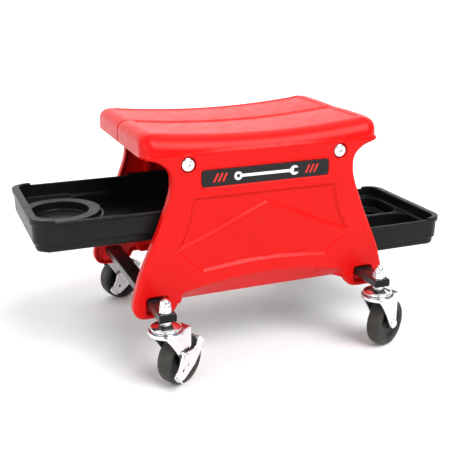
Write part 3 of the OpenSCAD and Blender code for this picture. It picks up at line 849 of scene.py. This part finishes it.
def fork(x, y, z):
    """Pressed fork: dished crown, flat tab over the wheel, and two tapering legs."""
    leg_out = LEG_GAP + LEG_T
    shell_2d = join(disc(x, y, 25.5), rounded_box(x - 14, y, 22, leg_out, 3), 4)
    crown = meet(shell_2d, slab(z, CROWN_Z, CROWN_Z + 3), 1.2)
    lip = meet(np.abs(disc(x, y, 24.3)) - 1.3, slab(z, CROWN_Z, CROWN_Z + 5.4), 0.9)
    race = meet(disc(x, y, 21), slab(z, CROWN_Z, CROWN_Z + 6.2), 1.2)
    crown = join(join(crown, lip, 1.5), race, 1.0)
    leg = np.maximum(outline(x, z, LEG), z - CROWN_Z - 2)
    legs = meet(leg, slab(np.abs(y), LEG_GAP, leg_out), 0.7)
    body = join(crown, legs, 3.0)
    press = rounded_box(x - TRAIL + 2, z - 68, 6, 16, 6)
    body = np.maximum(body, -np.maximum(press, leg_out - 0.6 - np.abs(y)))
    body = cut(body, disc(x, y, 5.1), 0.3)
    return cut(body, np.hypot(disc(x, y, 17), z - BALL_Z) - 2.6, 0.2)


def lever(x, y, z):
    """Brake lever, drawn on the axle: z is out of the wheel's face."""
    flat = outline(x, y, LEVER)
    press = np.exp(-((np.hypot(x - 2, y - 1) - 9) / 2.2) ** 2)
    swage = 0.9 * ramp(4.5, 2.5, np.abs(x * 0.64 - y * 0.77 + 1.0)) * ramp(26, 22, np.hypot(x, y))
    lift = press * 0.5 - swage * 0.4
    plate_body = meet(flat, slab(z - lift, LEVER_Z, LEVER_Z + LEVER_T), 0.5)
    reach = np.hypot(x, y)
    along = np.abs(np.arctan2(y, x) - math.radians(49.5)) * 39
    pad = meet(slab(reach, WHEEL_R + 0.5, WHEEL_R + 2.3), along - 7, 0.7)
    pad = meet(pad, slab(z, -11, LEVER_Z + LEVER_T), 0.7)
    pu, pv = rotated(x + 31.0, y + 15.5, 37)
    pedal = meet(rounded_box(pu, pv, LEVER_T / 2, 6.2, 0.8), slab(z, LEVER_Z, LEVER_Z + 11), 0.8)
    body = join(join(plate_body, pad, 2.2), pedal, 2.0)
    holes = np.minimum(disc(x + 15, y + 8, 2.2), disc(x + 4, y + 2, 1.6))
    body = cut(body, holes, 0.4)
    return cut(body, disc(x - LEVER_PIVOT[0], y - LEVER_PIVOT[1], 3.1), 0.3)


def rotated(x, y, degrees):
    """Coordinates in axes turned by degrees."""
    c, s = math.cos(math.radians(degrees)), math.sin(math.radians(degrees))
    return x * c + y * s, y * c - x * s


STEM_PROFILE = rounded_profile([
    (0, 86.4, 0), (9, 86.4, 0.6), (9, 88.8, 0.6), (5, 88.8, 0), (5, 99.6, 0), (14, 99.6, 0),
    (20.5, 97.4, 0.5), (22.6, 97.4, 0.8), (22.8, 99.4, 1.0), (20, 101.4, 1.2), (15, 103.2, 2.5),
    (10.5, 105, 1.0), (5, 105.4, 0), (5, 133, 0), (0, 134, 0)])
HUB_PROFILE = rounded_profile([
    (6.05, -13.8, 0), (9.6, -13.8, 0.7), (11, -8.6, 1.2), (16, -7.6, 1.5), (22, -8.0, 1.5),
    (24.5, -10.4, 1.0), (29, -11, 0.4), (29, 11, 0.4), (24.5, 10.4, 1.0), (22, 8.0, 1.5),
    (16, 7.6, 1.5), (11, 8.6, 1.2), (9.6, 13.8, 0.7), (6.05, 13.8, 0), (6.05, -13.8, 0)])
TYRE_PROFILE = rounded_profile([
    (29.05, -11, 0), (30.4, -11.6, 0.5), (31.6, -10.6, 0.6), (32.6, -11.9, 0.6), (35.2, -12, 0.9),
    (37.4, -9.8, 1.6), (WHEEL_R, -5, 2.5), (WHEEL_R, 5, 2.5), (37.4, 9.8, 1.6), (35.2, 12, 0.9),
    (32.6, 11.9, 0.6), (31.6, 10.6, 0.6), (30.4, 11.6, 0.5), (29.05, 11, 0), (29.05, -11, 0)])
AXLE_PROFILE = rounded_profile([
    (0, -21.4, 0), (4, -21.4, 0.5), (4, 17, 0), (7.8, 17, 0.3), (7.8, 17.9, 0.3),
    (6.2, 17.9, 0.2), (5.9, 19.6, 0.9), (3.4, 19.9, 0.2), (3.2, 19.2, 0.2), (0, 19.2, 0)])


def axle_nut(x, y, z):
    flats = meet(hexagon(x, y, 5.7), slab(z, -21.4, -17), 0.5)
    return np.maximum(flats, -disc(x, y, 4.0))


PIVOT_PROFILE = rounded_profile([
    (0, 13.3, 0), (4.5, 13.3, 0.4), (4.5, 14.5, 0.3), (3, 14.5, 0), (3, 17, 0), (5, 17, 0.2),
    (5, 19.8, 0.2), (3, 19.8, 0), (3, 22.2, 0), (5, 22.2, 0.3), (4.6, 23.4, 0.8), (0, 23.7, 0)])


def build_casters():
    fork_mesh = surface("fork", fork, (-26, -26, 29), (37, 26, 96), 1.25)
    lever_mesh = surface("lever", lever, (-40, -28, -11), (36, 38, 32), 1.05)
    stem_mesh = lathe("stem", STEM_PROFILE)
    hub_mesh = lathe("hub", HUB_PROFILE)
    tyre_mesh = lathe("tyre", TYRE_PROFILE, 128)
    axle_mesh = lathe("axle", AXLE_PROFILE, 48)
    nut_mesh = surface("axle_nut", axle_nut, (-7, -7, -21.4), (7, 7, -17), 0.6)
    pivot_mesh = lathe("pivot", PIVOT_PROFILE, 48)
    for corner in SIGNS:
        at_axle = axle_place(corner)
        swivel, wheel = f"swivel_{corner}", f"wheel_{corner}"
        place(f"stem_{corner}_turned", stem_mesh, "seat_frame", ZINC,
              [f"stem_{corner}"], stem_place(corner))
        place(f"fork_{corner}_pressed", fork_mesh, swivel, ZINC,
              [f"fork_{corner}"], swivel_place(corner))
        place(f"axle_{corner}_bolt", axle_mesh, swivel, ZINC, [f"axle_{corner}"], at_axle)
        place(f"axle_{corner}_nut", nut_mesh, swivel, ZINC, [f"axle_{corner}"], at_axle)
        place(f"hub_{corner}_moulded", hub_mesh, wheel, HUB,
              [f"hub_{corner}"], at_axle)
        place(f"tyre_{corner}_moulded", tyre_mesh, wheel, TYRE,
              [f"tyre_{corner}"], at_axle)
        if "left" in corner:
            place(f"brake_{corner}_pressed", lever_mesh, f"brake_{corner}", ZINC,
                  [f"brake_{corner}"], at_axle)
            spot = at_axle @ Matrix.Translation(Vector((*LEVER_PIVOT, 0)) * MM)
            place(f"pivot_{corner}_rivet", pivot_mesh, swivel, ZINC,
                  [f"pivot_{corner}"], spot)


# ---------------------------------------------------------------- finishes of the CAD pieces


def finish_cad_nodes():
    finishes = {
        "upper_tray_rails": RAIL, "lower_tray_rails": RAIL, "seat_tubes": ENAMEL,
        "rail_screws": STEEL, "bar_screws": STEEL, "caster_balls": STEEL,
    }
    for corner in SIGNS:
        finishes[f"sleeve_{corner}"] = STEEL
    for node, finish in finishes.items():
        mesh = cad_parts[node].data
        mesh.materials.clear()
        mesh.materials.append(finish)


# ---------------------------------------------------------------- stage, light and camera


def build_floor():
    look = Look("pale_floor", 0.6)
    look.colours(look.noise(3, 2), (0.93, 0.93, 0.93), (0.91, 0.91, 0.91))
    mesh = bpy.data.meshes.new("floor")
    half = 12.0
    mesh.from_pydata([(-half, -half, 0), (half, -half, 0), (half, half, 0), (-half, half, 0)],
                     [], [(0, 1, 2, 3)])
    mesh.materials.append(look.material)
    floor = bpy.data.objects.new("floor", mesh)
    bpy.context.scene.collection.objects.link(floor)


def sun(name, spot, width, strength):
    """Soft light from afar, as wide as width degrees."""
    light = bpy.data.lights.new(name, "SUN")
    light.angle = math.radians(width)
    light.energy = strength
    lamp = bpy.data.objects.new(name, light)
    lamp.rotation_euler = Vector(spot).to_track_quat("Z", "Y").to_euler()
    bpy.context.scene.collection.objects.link(lamp)


def build_light():
    world = bpy.data.worlds.new("studio")
    world.use_nodes = True
    sky = world.node_tree.nodes["Background"]
    sky.inputs["Color"].default_value = (1.0, 1.0, 1.0, 1)
    nodes, links = world.node_tree.nodes, world.node_tree.links
    split = nodes.new("ShaderNodeSeparateXYZ")
    links.new(nodes.new("ShaderNodeTexCoord").outputs["Generated"], split.inputs["Vector"])
    fade = nodes.new("ShaderNodeMapRange")
    for key, number in (("From Min", -0.5), ("From Max", 0.4), ("To Min", 0.25), ("To Max", 1.25)):
        fade.inputs[key].default_value = number
    links.new(split.outputs["Y"], fade.inputs["Value"])
    links.new(fade.outputs["Result"], sky.inputs["Strength"])
    bpy.context.scene.world = world
    sun("key", (0.26, -0.60, 0.76), 40, 3.0)
    sun("left", (-0.80, -0.50, 0.35), 50, 1.0)


def build_camera():
    """The photograph's view: from the front left, looking slightly down."""
    yaw, pitch = math.radians(21.83), math.radians(18.25)
    ahead = Vector((math.sin(yaw) * math.cos(pitch), math.cos(yaw) * math.cos(pitch),
                    -math.sin(pitch)))
    data = bpy.data.cameras.new("camera")
    data.sensor_width = 36.0
    data.lens = 64.66
    camera = bpy.data.objects.new("camera", data)
    camera.location = (-0.48834, -1.18445, 0.59914)
    camera.rotation_euler = ahead.to_track_quat("-Z", "Y").to_euler()
    bpy.context.scene.collection.objects.link(camera)
    bpy.context.scene.camera = camera


build_camera()
build_light()
build_floor()
build_shells()
build_trays()
build_bars()
build_fasteners()
build_plates()
build_casters()
finish_cad_nodes()
bpy.context.scene.view_settings.view_transform = "Standard"

bpy.context.view_layer.update()
